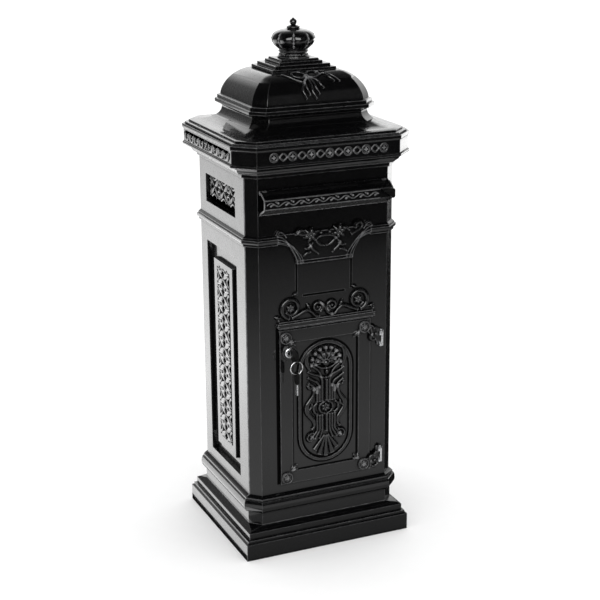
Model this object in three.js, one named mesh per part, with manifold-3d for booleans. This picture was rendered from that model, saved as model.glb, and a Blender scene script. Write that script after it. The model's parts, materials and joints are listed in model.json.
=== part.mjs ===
// A free-standing pillar letter box in cast aluminium: square plinth, panelled chamfered body, letter flap,
// side-hung lock-up door, moulded cornice, domed roof and a turned crown finial.
// Millimetres, +Z up, front towards -Y, origin at the middle of the foot.
import * as THREE from "three";
import { ParametricGeometry } from "three/addons/geometries/ParametricGeometry.js";
import { mergeVertices } from "three/addons/utils/BufferGeometryUtils.js";
import Module from "manifold-3d";

const wasm = await Module();
wasm.setup();

// ---- Driving dimensions -----------------------------------------------------------------------------------
const BODY_WIDTH = 306.2; // between the flat side faces
const BODY_DEPTH = 273;
const BODY_CHAMFER = 19.75; // leg of the cut corner, along X and along Y
const WALL = 4; // casting thickness
const GAP = 0.3; // between pieces that touch
const PLINTH_TOP = 62;
const PANEL_TOP = 762;
const CORNICE_TOP = 817.8;
const DOME_TOP = 930;
const SLABS_TOP = 951;
const HEIGHT = 1025;

const DOOR = { left: -95, right: 97, bottom: 141, top: 458, thick: 5.5, border: 26, recess: 2.5 };
const CARTOUCHE = { halfWidth: 57.3, bottom: 177, top: 427, ring: 6, raise: 0.8 };
const DOORWAY = { halfWidth: 90.5, bottom: 148, top: 451 };
const SLOT = { halfWidth: 112, bottom: 694, top: 722 };
const FLAP = { halfWidth: 131, reach: 28.5, lipTop: 719.6, lipBottom: 700.6, bottom: 684.5, wall: 3 };
const FLAP_PIN = { z: 729, radius: 1.5, barrel: 3.4 };
const FLAP_LUG = { x: 122, width: 7 };
const FLAP_KNOB = { left: 105, right: 131, bottom: 701, top: 719.4, round: 4, proud: 8 };
const HINGE = { x: 119, standOff: 6.5, barrel: 4.8, pin: 1.8, height: 31 };
const HINGE_HEIGHTS = { top: 415.5, bottom: 170 };
const ROSETTE = { x: 83, radius: 12, thick: 3 };
const ROSETTE_HEIGHTS = { top: 443, bottom: 154.5 };
const LOCK = { x: -76, z: 414.3, barrel: 9.5, rim: 10.6, plug: 6 };
const KEY = { thick: 2.4, headHeight: 26, hole: 178, ring: 12.4, ringWire: 1 };
const SCREW = { radius: 2.5, head: 4.6 };

// ---- Faces and places that follow from them ---------------------------------------------------------------
const HALF_WIDTH = BODY_WIDTH / 2;
const HALF_DEPTH = BODY_DEPTH / 2;
const FRONT = -HALF_DEPTH; // the body's flat front face
const SEAM = HALF_DEPTH - BODY_CHAMFER; // where a side panel meets the front and back panels
const DOOR_BACK = FRONT - GAP;
const DOOR_FACE = DOOR_BACK - DOOR.thick;
const DOOR_FIELD = DOOR_FACE + DOOR.recess;
const FLAP_PIN_Y = FRONT - GAP - FLAP_PIN.barrel;
const HINGE_Y = FRONT - HINGE.standOff;
const BOSS_FACE = DOOR_FACE - 2.7; // front of the round boss that the lock sits in
const OFFSET_CORNER = 2 - Math.SQRT2; // how much a 45 degree corner grows with each mm of offset
const ROUND = 16;
const SMALL_ROUND = 10;

// ---- Solids from three.js geometries ----------------------------------------------------------------------
function solid(geometry) {
  const bare = geometry.index ? geometry.toNonIndexed() : geometry.clone();
  bare.deleteAttribute("normal");
  bare.deleteAttribute("uv");
  const merged = mergeVertices(bare, 1e-4);
  const triVerts = [];
  for (let i = 0; i < merged.index.count; i += 3) {
    const [a, b, c] = [0, 1, 2].map((k) => merged.index.getX(i + k));
    if (a !== b && b !== c && c !== a) triVerts.push(a, b, c);
  }
  return new wasm.Manifold(
    new wasm.Mesh({
      numProp: 3,
      vertProperties: merged.attributes.position.array,
      triVerts: new Uint32Array(triVerts),
    }),
  );
}

const union = (...solids) => solids.reduce((all, next) => all.add(next));
const cut = (from, ...tools) => tools.reduce((left, tool) => left.subtract(tool), from);

function box([x0, y0, z0], [x1, y1, z1]) {
  const geometry = new THREE.BoxGeometry(x1 - x0, y1 - y0, z1 - z0);
  return solid(geometry.translate((x0 + x1) / 2, (y0 + y1) / 2, (z0 + z1) / 2));
}

// A body turned about the Z axis; the profile is a list of [radius, height] that starts and ends on the axis.
function turned(profile, sides = ROUND) {
  const points = profile.map(([r, z]) => new THREE.Vector2(r, z));
  return solid(new THREE.LatheGeometry(points, sides).rotateX(Math.PI / 2));
}

const rod = (radius, z0, z1, sides = SMALL_ROUND) =>
  turned([[0, z0], [radius, z0], [radius, z1], [0, z1]], sides);

// Turned bodies laid along Y (heights run towards +Y) or along X.
const alongY = (body) => body.rotate([-90, 0, 0]);
const alongX = (body) => body.rotate([0, 90, 0]);

function extruded(shape, depth) {
  return new THREE.ExtrudeGeometry(shape, { depth, bevelEnabled: false, curveSegments: 6 });
}

// An outline in X and Z, given thickness from one Y to another.
function plate(shape, y0, y1) {
  const geometry = extruded(shape, y1 - y0);
  return solid(geometry.rotateX(Math.PI / 2).translate(0, y1, 0));
}

// An outline in Y and Z, given thickness from one X to another.
function sidePlate(shape, x0, x1) {
  const geometry = extruded(shape, x1 - x0);
  return solid(geometry.rotateY(Math.PI / 2).rotateX(Math.PI / 2).translate(x0, 0, 0));
}

const outline = (points) => new THREE.Shape(points.map(([a, b]) => new THREE.Vector2(a, b)));

// A level of a moulding that runs round the body: z, offset from the body's faces and corner cut.
function level(offset, z, corner = BODY_CHAMFER + OFFSET_CORNER * offset) {
  return { x: HALF_WIDTH + offset, y: HALF_DEPTH + offset, corner, z };
}

const square = (offset, z) => level(offset, z, 0);

function cornerPoint({ x, y, corner }, index) {
  const points = [[x, y - corner], [x - corner, y], [corner - x, y], [-x, y - corner]];
  const [px, py] = points[index % 4];
  return index % 8 < 4 ? [px, py] : [-px, -py];
}

// A closed body through a list of levels, with flat ends.
function loft(levels) {
  const shut = (end) => ({ x: 0, y: 0, corner: 0, z: end.z });
  const rows = [shut(levels[0]), ...levels, shut(levels[levels.length - 1])];
  const surface = (u, v, target) => {
    const row = rows[Math.round(v * (rows.length - 1))];
    const [x, y] = cornerPoint(row, Math.round(u * 8) % 8);
    target.set(x, y, row.z);
  };
  return solid(new ParametricGeometry(surface, 8, rows.length - 1));
}

// ---- Look of each material --------------------------------------------------------------------------------
const PAINT = { color: 0x1a1a1b, roughness: 0.28, metalness: 0.1 };
const CHROME = { color: 0xd8dadc, roughness: 0.12, metalness: 1 };
const STEEL = { color: 0xa9acae, roughness: 0.35, metalness: 1 };
const PLASTIC = { color: 0x141414, roughness: 0.45, metalness: 0 };

const letterBox = new THREE.Group();

function addPiece(name, body, look) {
  const { vertProperties, triVerts } = body.getMesh();
  const geometry = new THREE.BufferGeometry();
  geometry.setAttribute("position", new THREE.BufferAttribute(vertProperties, 3));
  geometry.setIndex(new THREE.BufferAttribute(triVerts, 1));
  const flat = geometry.toNonIndexed();
  flat.computeVertexNormals();
  const mesh = new THREE.Mesh(flat, new THREE.MeshStandardMaterial(look));
  mesh.name = name;
  letterBox.add(mesh);
}

// ---- Fixing points: screws stand upright through inside lugs of the side panels ---------------------------
const LUG = { y: 80, halfLength: 9, reach: 13, height: 12 };
const CORNERS = { front_left: [-1, -1], front_right: [1, -1], back_left: [-1, 1], back_right: [1, 1] };
const FIXINGS = Object.values(CORNERS); // side of X, side of Y
const LUG_SCREW_X = HALF_WIDTH - WALL - 7;
const ROOF_LUG = { x: 164, y: 60, half: 9 };

const screwHole = (x, y, z0, z1) => rod(SCREW.radius + GAP, z0, z1).translate([x, y, 0]);

// A pan-head screw standing upright: the head below the shank when up is true, above it when false.
function screw(x, y, seat, length, up) {
  const headHeight = 3;
  const profile = [[0, -headHeight], [SCREW.head, -headHeight], [SCREW.head, 0], [SCREW.radius, 0],
    [SCREW.radius, length], [0, length]];
  const body = turned(profile, SMALL_ROUND);
  return (up ? body : body.rotate([180, 0, 0])).translate([x, y, seat]);
}

// ---- Plinth: one casting, a tray with a floor, open at the top --------------------------------------------
const ANCHOR = { x: 110, y: 95, radius: 6 };

function plinth() {
  const outside = loft([square(22.4, 0), square(22.4, 33.5), square(18.4, 35.5), square(18.4, 40),
    square(13.5, 41), square(13.5, 53), square(8, 56), level(3.2, PLINTH_TOP)]);
  const floor = 5;
  const inside = loft([square(16.4, floor), square(16.4, 32), square(8, 40), square(8, 50),
    level(-WALL, 58), level(-WALL, PLINTH_TOP + 1)]);
  const bosses = FIXINGS.map(([side, back]) => {
    const x = [side * (HALF_WIDTH - 19), side * (HALF_WIDTH + 12)].sort((a, b) => a - b);
    return box([x[0], back * LUG.y - LUG.halfLength, 44], [x[1], back * LUG.y + LUG.halfLength, PLINTH_TOP]);
  });
  const taps = FIXINGS.map(([side, back]) => screwHole(side * LUG_SCREW_X, back * LUG.y, 48, PLINTH_TOP + 1));
  const anchors = FIXINGS.map(([side, back]) => {
    return rod(ANCHOR.radius, -1, floor + 1, 12).translate([side * ANCHOR.x, back * ANCHOR.y, 0]);
  });
  const limits = loft([square(22.4, 0), square(18, 33), square(12, 41), level(3, PLINTH_TOP)]);
  const trimmed = bosses.map((boss) => boss.intersect(limits));
  return cut(union(cut(outside, inside), ...trimmed), ...taps, ...anchors);
}

// ---- Body: one moulded tube, cut into front, back and two side panels -------------------------------------
function bodyTube() {
  const foot = PLINTH_TOP + GAP;
  const outside = loft([level(2.5, foot), level(2.5, 87), ...quarterRound(2.5, 12, 88, 101, 6),
    ...quarterRound(7.5, 12, 114, 102, 4).reverse(), level(7.5, 117.5), level(3.5, 119.5), level(0, 123),
    level(0, 625), level(3.5, 625.6), level(3.5, 629.4), level(4.4, 630),
    ...quarterRound(4.6, 7.5, 630.6, 634.5, 4), level(7.5, 638), level(4.5, 638.8), level(4.5, 641.6),
    level(0.5, 645), level(0, 645.4), level(0, 753), level(4, 755.5),
    level(4, PANEL_TOP)]);
  return cut(outside, loft([level(-WALL, foot - 1), level(-WALL, PANEL_TOP + 1)]));
}

// Levels of a convex quarter round that swells from one offset and height to another.
function quarterRound(fromOffset, toOffset, fromZ, toZ, steps) {
  return Array.from({ length: steps + 1 }, (_, i) => {
    const turn = (i / steps) * (Math.PI / 2);
    return level(fromOffset + (toOffset - fromOffset) * Math.sin(turn), toZ + (fromZ - toZ) * Math.cos(turn));
  });
}

const REACH = HALF_WIDTH + 50; // beyond every face of the body

function frontSlab(side) {
  const edge = SEAM + GAP / 2;
  const y = side < 0 ? [-REACH, -edge] : [edge, REACH];
  return box([-REACH, y[0], 0], [REACH, y[1], HEIGHT]);
}

function sideSlab(side) {
  const edge = SEAM - GAP / 2;
  const x = side < 0 ? [-REACH, 0] : [0, REACH];
  return box([x[0], -edge, 0], [x[1], edge, HEIGHT]);
}

// Apron that breaks the string course: hollow sides and a ledge at its foot.
const APRON = { half: 96, waist: 54, top: 645, arm: 628, shoulder: 594, foot: 585.5, raise: 4 };

function apron() {
  const { half, waist, top, arm, shoulder, foot } = APRON;
  const shape = new THREE.Shape();
  shape.moveTo(-half, top);
  shape.lineTo(-half, arm);
  shape.quadraticCurveTo(-waist - 8, arm - 4, -waist, shoulder);
  shape.lineTo(-waist, foot);
  shape.lineTo(waist, foot);
  shape.lineTo(waist, shoulder);
  shape.quadraticCurveTo(waist + 8, arm - 4, half, arm);
  shape.lineTo(half, top);
  return plate(shape, FRONT - APRON.raise, FRONT + 1);
}

// Engraved lines of the panel below the apron.
const GROOVE = { x: 57, foot: 521, head: APRON.foot, width: 3, depth: 1.6, sill: 44 };

function grooves() {
  const { x, foot, head, width, depth, sill } = GROOVE;
  const engrave = (x0, z0, x1, z1) => box([x0, FRONT - 1, z0], [x1, FRONT + depth, z1]);
  return [
    engrave(-x - width / 2, foot + width, -x + width / 2, head),
    engrave(x - width / 2, foot + width, x + width / 2, head),
    engrave(-sill, foot - width / 2, sill, foot + width / 2),
  ];
}

// Drip bar over the door, with a stepped nose.
function headBar() {
  return union(
    box([-98, FRONT - 7, 463], [106, FRONT + 1, 471]),
    box([-94, FRONT - 4, 460], [102, FRONT + 1, 474]),
  );
}

// Lugs on the front panel that carry the flap's pin.
function flapLug(side) {
  const x = side * FLAP_LUG.x;
  const radius = FLAP_PIN.barrel - 0.3;
  const eye = alongX(rod(radius, -FLAP_LUG.width / 2, FLAP_LUG.width / 2, 12));
  const root = box([-FLAP_LUG.width / 2, 0, -radius], [FLAP_LUG.width / 2, FRONT + 1 - FLAP_PIN_Y, 0]);
  return union(eye, root).translate([x, FLAP_PIN_Y, FLAP_PIN.z]);
}

function frontPanel(tube) {
  const flapPinHole = alongX(rod(FLAP_PIN.radius + GAP, -FLAP.halfWidth, FLAP.halfWidth));
  const broken = box([-APRON.half, FRONT - 20, 620], [APRON.half, FRONT, 650]);
  const face = cut(tube.intersect(frontSlab(-1)), broken);
  const body = union(face, apron(), headBar(), flapLug(-1), flapLug(1));
  const through = [FRONT - 20, FRONT + 20];
  return cut(
    body,
    ...grooves(),
    box([-SLOT.halfWidth, through[0], SLOT.bottom], [SLOT.halfWidth, through[1], SLOT.top]),
    box([-DOORWAY.halfWidth, through[0], DOORWAY.bottom], [DOORWAY.halfWidth, through[1], DOORWAY.top]),
    flapPinHole.translate([0, FLAP_PIN_Y, FLAP_PIN.z]),
  );
}

// Sunk panels of the sides, each a shallow pan: an upper window, and a tall lower panel.
// A raised field in the lower panel frames a narrow well.
const WINDOW = { half: 78, bottom: 669, top: 725 };
const PAN = { half: 79, bottom: 144.5, top: 590 };
const FIELD = { half: 49.5, bottom: 168.5, top: 562 };
const WELL = { half: 34, bottom: 190, top: 547 };
const PANEL_SHIFT = 5; // how far the sunk panels stand behind the middle of the side
const SUNK = { pan: 10.2, field: 2.2, well: 4.6, draft: 1.2, skin: 3.3, rim: 2 }; // depths below the face

// A block set in the left side: a rectangle at each of two depths below the face, joined by straight walls.
function sidePyramid(outer, outerDepth, inner, innerDepth) {
  const rows = [[outer, outerDepth], [inner, innerDepth]];
  const rim = ({ half, bottom, top }, depth, u) => {
    const corners = [[-half, bottom], [half, bottom], [half, top], [-half, top]];
    const [y, z] = corners[Math.round(u * 4) % 4];
    return [-HALF_WIDTH + depth, y + PANEL_SHIFT, z];
  };
  const surface = (u, v, target) => {
    const row = Math.round(v * 3);
    const [shape, depth] = rows[row < 2 ? 0 : 1];
    const middle = [-HALF_WIDTH + depth, PANEL_SHIFT, (shape.bottom + shape.top) / 2];
    target.set(...(row === 0 || row === 3 ? middle : rim(shape, depth, u)));
  };
  return solid(new ParametricGeometry(surface, 4, 3));
}

const inset = ({ half, bottom, top }, by) => ({ half: half - by, bottom: bottom + by, top: top - by });

function sunkPan(pan) {
  const shell = inset(pan, -SUNK.rim);
  const block = sidePyramid(shell, 1, shell, SUNK.pan + SUNK.skin);
  const hollow = sidePyramid(inset(pan, -SUNK.draft / SUNK.pan), -1, inset(pan, SUNK.draft), SUNK.pan);
  return { block, hollow };
}

function sidePanel(tube, side) {
  const window = sunkPan(WINDOW);
  const tall = sunkPan(PAN);
  const field = sidePyramid(inset(FIELD, SUNK.draft), SUNK.field, FIELD, SUNK.pan + 1);
  const well = sidePyramid(WELL, 0, WELL, SUNK.well);
  const lugs = [];
  const holes = [];
  const x = [-HALF_WIDTH + 1, -HALF_WIDTH + WALL + LUG.reach];
  for (const back of [-1, 1]) {
    const y = [back * LUG.y - LUG.halfLength, back * LUG.y + LUG.halfLength];
    for (const z0 of [PLINTH_TOP + GAP, PANEL_TOP - LUG.height]) {
      const z1 = z0 + LUG.height - GAP;
      lugs.push(box([x[0], y[0], z0], [x[1], y[1], z1]));
      holes.push(screwHole(-LUG_SCREW_X, back * LUG.y, z0 - 1, z1 + 1));
    }
  }
  const skin = union(tube.intersect(sideSlab(-1)), window.block, tall.block, ...lugs);
  const panel = cut(union(cut(skin, window.hollow, tall.hollow), field), well, ...holes);
  return side < 0 ? panel : panel.mirror([1, 0, 0]);
}

// ---- Corner angles inside the body, screwed to the panels -------------------------------------------------
const ANGLE = { leg: 16, thick: 3, bottom: 80, top: 745 };

function cornerAngle(side, back) {
  const x = HALF_WIDTH - WALL - GAP;
  const y = SEAM - BODY_CHAMFER * 0.35;
  const bars = union(
    box([x - ANGLE.thick, y - ANGLE.leg, ANGLE.bottom], [x, y, ANGLE.top]),
    box([x - ANGLE.leg, y - ANGLE.thick, ANGLE.bottom], [x, y, ANGLE.top]),
  );
  return bars.scale([side, back, 1]);
}

// ---- Cornice: hollow frieze ring -------------------------------------------------------------------------
const CORNICE = { frieze: 27.2, fillet: 29.7, lugFoot: 803, lugReach: 24 };

function cornice() {
  const foot = PANEL_TOP + GAP;
  const { frieze, fillet } = CORNICE;
  const outside = loft([level(4, foot), level(12, 763.5), level(12, 766),
    ...hollowRound(14, 26.5, 767, 777, 6), level(fillet, 778), level(fillet, 782.5), level(frieze, 784),
    level(frieze, 809), level(fillet, 811), level(fillet, CORNICE_TOP)]);
  const flange = -WALL - LUG.reach - 2;
  const bore = loft([level(flange, foot - 1), level(flange, foot + 5)]);
  const hollow = loft([level(6, foot + 4.5), level(12, 772), level(22, 782), level(22, CORNICE_TOP + 1)]);
  const lugs = FIXINGS.map(([side, back]) => {
    return roofLug(side, back, CORNICE.lugFoot, CORNICE_TOP, HALF_WIDTH + CORNICE.lugReach);
  });
  const holes = FIXINGS.flatMap(([side, back]) => [
    screwHole(side * LUG_SCREW_X, back * LUG.y, foot - 1, foot + 6),
    screwHole(side * ROOF_LUG.x, back * ROOF_LUG.y, CORNICE.lugFoot - 1, CORNICE_TOP + 1),
  ]);
  return cut(union(cut(outside, bore, hollow), ...lugs), ...holes);
}

// Levels of a hollow quarter round that sweeps out from one offset and height to another.
function hollowRound(fromOffset, toOffset, fromZ, toZ, steps) {
  return Array.from({ length: steps + 1 }, (_, i) => {
    const turn = (i / steps) * (Math.PI / 2);
    return level(toOffset + (fromOffset - toOffset) * Math.cos(turn), fromZ + (toZ - fromZ) * Math.sin(turn));
  });
}

function roofLug(side, back, z0, z1, outerX) {
  const x = [side * (ROOF_LUG.x - ROOF_LUG.half), side * outerX].sort((a, b) => a - b);
  return box([x[0], back * ROOF_LUG.y - ROOF_LUG.half, z0], [x[1], back * ROOF_LUG.y + ROOF_LUG.half, z1]);
}

// ---- Roof: fillets, hollow skirt, neck and cushion dome in one shell -------------------------------------
const SKIRT = { rim: 11.2, foot: 826.8, neck: -35, head: 856, rimCorner: 28, neckCorner: 24 };
const DOME = { rim: -33.5, foot: 878.5, top: -81.5, rimCorner: 22, topCorner: 7, fullness: 1.65 };
const CURVE_STEPS = 12;

function skirtLevels(shift) {
  return Array.from({ length: CURVE_STEPS + 1 }, (_, i) => {
    const turn = (i / CURVE_STEPS) * (Math.PI / 2);
    const offset = SKIRT.rim - (SKIRT.rim - SKIRT.neck) * Math.sin(turn);
    const z = SKIRT.head - (SKIRT.head - SKIRT.foot) * Math.cos(turn);
    const corner = THREE.MathUtils.lerp(SKIRT.rimCorner, SKIRT.neckCorner, i / CURVE_STEPS);
    return level(offset - shift, z - shift, corner);
  });
}

function domeLevels(shift) {
  return Array.from({ length: CURVE_STEPS + 1 }, (_, i) => {
    const turn = (i / CURVE_STEPS) * (Math.PI / 2);
    const out = Math.cos(turn) ** (2 / DOME.fullness);
    const up = Math.sin(turn) ** (2 / DOME.fullness);
    const corner = THREE.MathUtils.lerp(DOME.topCorner, DOME.rimCorner, out);
    const offset = THREE.MathUtils.lerp(DOME.top, DOME.rim, out);
    return level(offset - shift, THREE.MathUtils.lerp(DOME.foot, DOME_TOP, up) - shift, corner);
  });
}

const STUD = 3;

function roof() {
  const foot = CORNICE_TOP + GAP;
  const rims = [level(24.4, foot), level(24.4, 821.5), level(17.3, 822.5), level(17.3, 825.5)];
  const neck = [level(-34, 858.5, 24), level(-24.5, 863.5, 24), level(-24.5, 870, 24),
    level(-28.5, 871.5, 23), level(-28.5, 877, 23)];
  const outside = loft([...rims, ...skirtLevels(0), ...neck, ...domeLevels(0)]);
  const inside = loft([level(20, foot - 1, 30), level(19, 818.6, 29), level(9, 822, 28),
    ...skirtLevels(WALL).slice(1), ...domeLevels(WALL)]);
  const lugs = FIXINGS.map(([side, back]) => roofLug(side, back, foot, 823.5, HALF_WIDTH + 20));
  const taps = FIXINGS.map(([side, back]) => {
    return screwHole(side * ROOF_LUG.x, back * ROOF_LUG.y, foot - 1, 822.3);
  });
  const studHole = rod(STUD + GAP, 900, DOME_TOP + 1);
  return cut(union(cut(outside, inside), ...lugs), ...taps, studHole);
}

// ---- Finial -----------------------------------------------------------------------------------------------
function finialPlinth() {
  const steps = [[66, 51, 936], [57, 44, 942], [44.5, 35.5, 947], [39, 30.5, SLABS_TOP]];
  let foot = DOME_TOP + GAP;
  const slabs = steps.map(([x, y, top]) => {
    const slab = box([-x, -y, foot], [x, y, top]);
    foot = top - 0.5;
    return slab;
  });
  return cut(union(...slabs), rod(STUD + GAP, DOME_TOP, SLABS_TOP + 1));
}

function crown() {
  const foot = SLABS_TOP + GAP;
  const profile = [[0, foot], [29, foot], [29, 955], [26.5, 956.5], [26.5, 961], [28.5, 963], [27, 965.5],
    [33, 971], [39.5, 978], [42.5, 985], [41, 992], [35, 998.5], [25, 1002.5], [13, 1004.5], [12.5, 1008.5],
    [8, 1010.5], [4.5, 1011.5], [6.4, 1014], [7, 1017.5], [5.5, 1021], [2.6, 1022.8], [2.2, 1024.3],
    [0, HEIGHT]];
  return cut(turned(profile, 20), rod(STUD + GAP, foot - 1, 976));
}

const finialStud = () => rod(STUD, 906, 975, 8);

function ringOf(inner, outer, z0, z1, sides) {
  return cut(rod(outer, z0, z1, sides), rod(inner, z0 - 1, z1 + 1, SMALL_ROUND));
}

// ---- Letter flap: a hood hung on a pin along its top edge ------------------------------------------------
function letterFlap() {
  const front = FRONT - FLAP.reach;
  const back = FRONT - 0.4;
  const top = FLAP_PIN.z + FLAP_PIN.barrel;
  const hood = outline([[FLAP_PIN_Y, top], [front, FLAP.lipTop], [front, FLAP.lipBottom], [back, FLAP.bottom],
    [FLAP_PIN_Y, FLAP.bottom + 2], [FLAP_PIN_Y, FLAP_PIN.z]]);
  const hollow = outline([[FLAP_PIN_Y - 1, top - 3.8], [front + FLAP.wall, FLAP.lipTop - 2.1],
    [front + FLAP.wall, FLAP.lipBottom + 1.8], [FRONT + 5, FLAP.bottom + 0.4], [FRONT + 5, FLAP_PIN.z - 12],
    [FLAP_PIN_Y - 1, FLAP_PIN.z - 4]]);
  const barrel = alongX(rod(FLAP_PIN.barrel, -FLAP.halfWidth, FLAP.halfWidth, 16));
  const cover = sidePlate(hood, -FLAP.halfWidth, FLAP.halfWidth);
  const shell = union(cover, barrel.translate([0, FLAP_PIN_Y, FLAP_PIN.z]));
  const notches = [-1, 1].map((side) => {
    const half = FLAP_LUG.width / 2 + GAP;
    const y = FLAP_PIN_Y - FLAP_PIN.barrel - GAP;
    return box([side * FLAP_LUG.x - half, y, FLAP_PIN.z - 6], [side * FLAP_LUG.x + half, FRONT + 1, top + 1]);
  });
  const pinHole = alongX(rod(FLAP_PIN.radius + GAP, -FLAP.halfWidth - 1, FLAP.halfWidth + 1));
  const open = sidePlate(hollow, -FLAP.halfWidth - 1, FLAP.halfWidth + 1);
  return cut(shell, open, ...notches, pinHole.translate([0, FLAP_PIN_Y, FLAP_PIN.z]));
}

// Finger block stuck on the lip's right end, rounded on its right.
function flapKnob() {
  const { left, right, bottom, top, round, proud } = FLAP_KNOB;
  const back = FRONT - FLAP.reach - GAP;
  const shape = new THREE.Shape();
  shape.moveTo(left, bottom);
  shape.absarc(right - round, bottom + round, round, -Math.PI / 2, 0, false);
  shape.absarc(right - round, top - round, round, 0, Math.PI / 2, false);
  shape.lineTo(left, top);
  return plate(shape, back - proud, back);
}

const flapPin = () => alongX(rod(FLAP_PIN.radius, -130.5, 130.5)).translate([0, FLAP_PIN_Y, FLAP_PIN.z]);

// ---- Door -------------------------------------------------------------------------------------------------
function stadium(halfWidth, bottom, top) {
  const shape = new THREE.Shape();
  shape.moveTo(halfWidth, bottom + halfWidth);
  shape.lineTo(halfWidth, top - halfWidth);
  shape.absarc(0, top - halfWidth, halfWidth, 0, Math.PI, false);
  shape.lineTo(-halfWidth, bottom + halfWidth);
  shape.absarc(0, bottom + halfWidth, halfWidth, Math.PI, 2 * Math.PI, false);
  return shape;
}

function door() {
  const { left, right, bottom, top, border } = DOOR;
  const leaf = box([left, DOOR_FACE, bottom], [right, DOOR_BACK, top]);
  const field = box(
    [left + border, DOOR_FACE - 1, bottom + border],
    [right - border, DOOR_FIELD, top - border],
  );
  const { halfWidth, ring, raise } = CARTOUCHE;
  const rim = stadium(halfWidth, CARTOUCHE.bottom, CARTOUCHE.top);
  const inside = stadium(halfWidth - ring, CARTOUCHE.bottom + ring, CARTOUCHE.top - ring);
  const cartouche = cut(
    plate(rim, DOOR_FACE - raise, DOOR_FIELD + 1),
    plate(inside, DOOR_FACE - 2, DOOR_FIELD),
  );
  const boss = atLock(rod(14, BOSS_FACE, DOOR_FIELD + 1, 20));
  const lockHole = atLock(rod(LOCK.barrel + GAP, BOSS_FACE - 1, DOOR_BACK + 1, 20));
  return cut(union(cut(leaf, field), cartouche, boss), lockHole);
}

// Hinge strap on the door: round rosette plate, curved arm and the middle knuckle.
function hingeStrap(end) {
  const middle = HINGE_HEIGHTS[end];
  const rosetteZ = ROSETTE_HEIGHTS[end];
  const lean = Math.sign(rosetteZ - middle);
  const half = HINGE.height / 5;
  const shape = new THREE.Shape();
  shape.moveTo(ROSETTE.x + 6, rosetteZ + lean * 4);
  shape.quadraticCurveTo(HINGE.x - 8, rosetteZ, HINGE.x - 6.5, middle + lean * half);
  shape.lineTo(HINGE.x, middle + lean * half);
  shape.lineTo(HINGE.x, middle - lean * half);
  shape.lineTo(HINGE.x - 9, middle - lean * half);
  shape.quadraticCurveTo(HINGE.x - 18, middle + lean * 4, ROSETTE.x + 6, rosetteZ - lean * 10);
  const face = DOOR_FACE - GAP;
  const arm = plate(shape, face - ROSETTE.thick, face);
  const disc = rod(ROSETTE.radius, face - ROSETTE.thick, face, 20);
  const rosette = alongY(disc).translate([ROSETTE.x, 0, rosetteZ]);
  const knuckle = rod(HINGE.barrel, middle - half, middle + half, 12).translate([HINGE.x, HINGE_Y, 0]);
  const pinHole = rod(HINGE.pin + GAP, middle - half - 1, middle + half + 1).translate([HINGE.x, HINGE_Y, 0]);
  return cut(union(arm, rosette, knuckle), pinHole);
}

// Hinge bracket on the front panel: a base plate with an upper and a lower knuckle.
function hingeBracket(end) {
  const middle = HINGE_HEIGHTS[end];
  const half = HINGE.height / 2;
  const inner = HINGE.height / 5 + GAP;
  const back = FRONT - GAP;
  const baseFace = HINGE_Y + HINGE.barrel + GAP;
  const base = box([HINGE.x - 6, baseFace, middle - half], [HINGE.x + 6, back, middle + half]);
  const knuckles = [[-half, -inner], [inner, half]].map(([z0, z1]) => {
    const barrel = rod(HINGE.barrel, middle + z0, middle + z1, 12).translate([HINGE.x, HINGE_Y, 0]);
    return union(barrel, box([HINGE.x - 3.5, HINGE_Y, middle + z0], [HINGE.x + 3.5, back, middle + z1]));
  });
  const pinHole = rod(HINGE.pin + GAP, middle - half - 1, middle + half + 1).translate([HINGE.x, HINGE_Y, 0]);
  return cut(union(base, ...knuckles), pinHole);
}

function hingePin(end) {
  const middle = HINGE_HEIGHTS[end];
  const half = HINGE.height / 2;
  const profile = [[0, -half - 2], [HINGE.pin, -half - 2], [HINGE.pin, half + GAP], [3.4, half + GAP],
    [3, half + 2.4], [0, half + 3]];
  return turned(profile, SMALL_ROUND).translate([HINGE.x, HINGE_Y, middle]);
}

// Rosette plate on the door's free side, at the corners without a hinge.
function cornerRosette(end) {
  const face = DOOR_FACE - GAP;
  const disc = rod(ROSETTE.radius, face - ROSETTE.thick, face, 20);
  return alongY(disc).translate([-ROSETTE.x, 0, ROSETTE_HEIGHTS[end]]);
}

// ---- Cam lock and keys ------------------------------------------------------------------------------------
const CAM = { front: FRONT + WALL + 0.6, thick: 2, reach: 27, half: 7 };
const CAM_SCREW = { radius: 2, head: 4.5, headHeight: 2.6 };
const PLUG_FACE = BOSS_FACE - GAP - 3.2;
const atLock = (body) => alongY(body).translate([LOCK.x, 0, LOCK.z]);

function lockBarrel() {
  const seat = BOSS_FACE - GAP;
  const profile = [[0, PLUG_FACE + 0.4], [LOCK.rim - 1, PLUG_FACE + 0.4], [LOCK.rim, PLUG_FACE + 1.2],
    [LOCK.rim, seat], [LOCK.barrel, seat], [LOCK.barrel, FRONT + WALL], [0, FRONT + WALL]];
  return cut(atLock(turned(profile, 20)), atLock(rod(LOCK.plug + GAP, PLUG_FACE - 1, FRONT + WALL + 1, 14)));
}

function lockNut() {
  const body = cut(rod(13, FRONT + 0.3, FRONT + 3.6, 6), rod(LOCK.barrel + GAP, FRONT, FRONT + 5, 20));
  return atLock(body);
}

function lockPlug() {
  const back = CAM.front - GAP;
  const keyway = box(
    [LOCK.x - 1.5, PLUG_FACE - 1, LOCK.z - 4.4],
    [LOCK.x + 1.5, FRONT - 0.5, LOCK.z + 4.4],
  );
  const tap = rod(CAM_SCREW.radius + GAP, FRONT + 1, back + 1, 8);
  return cut(atLock(rod(LOCK.plug, PLUG_FACE, back, 14)), keyway, atLock(tap));
}

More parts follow.
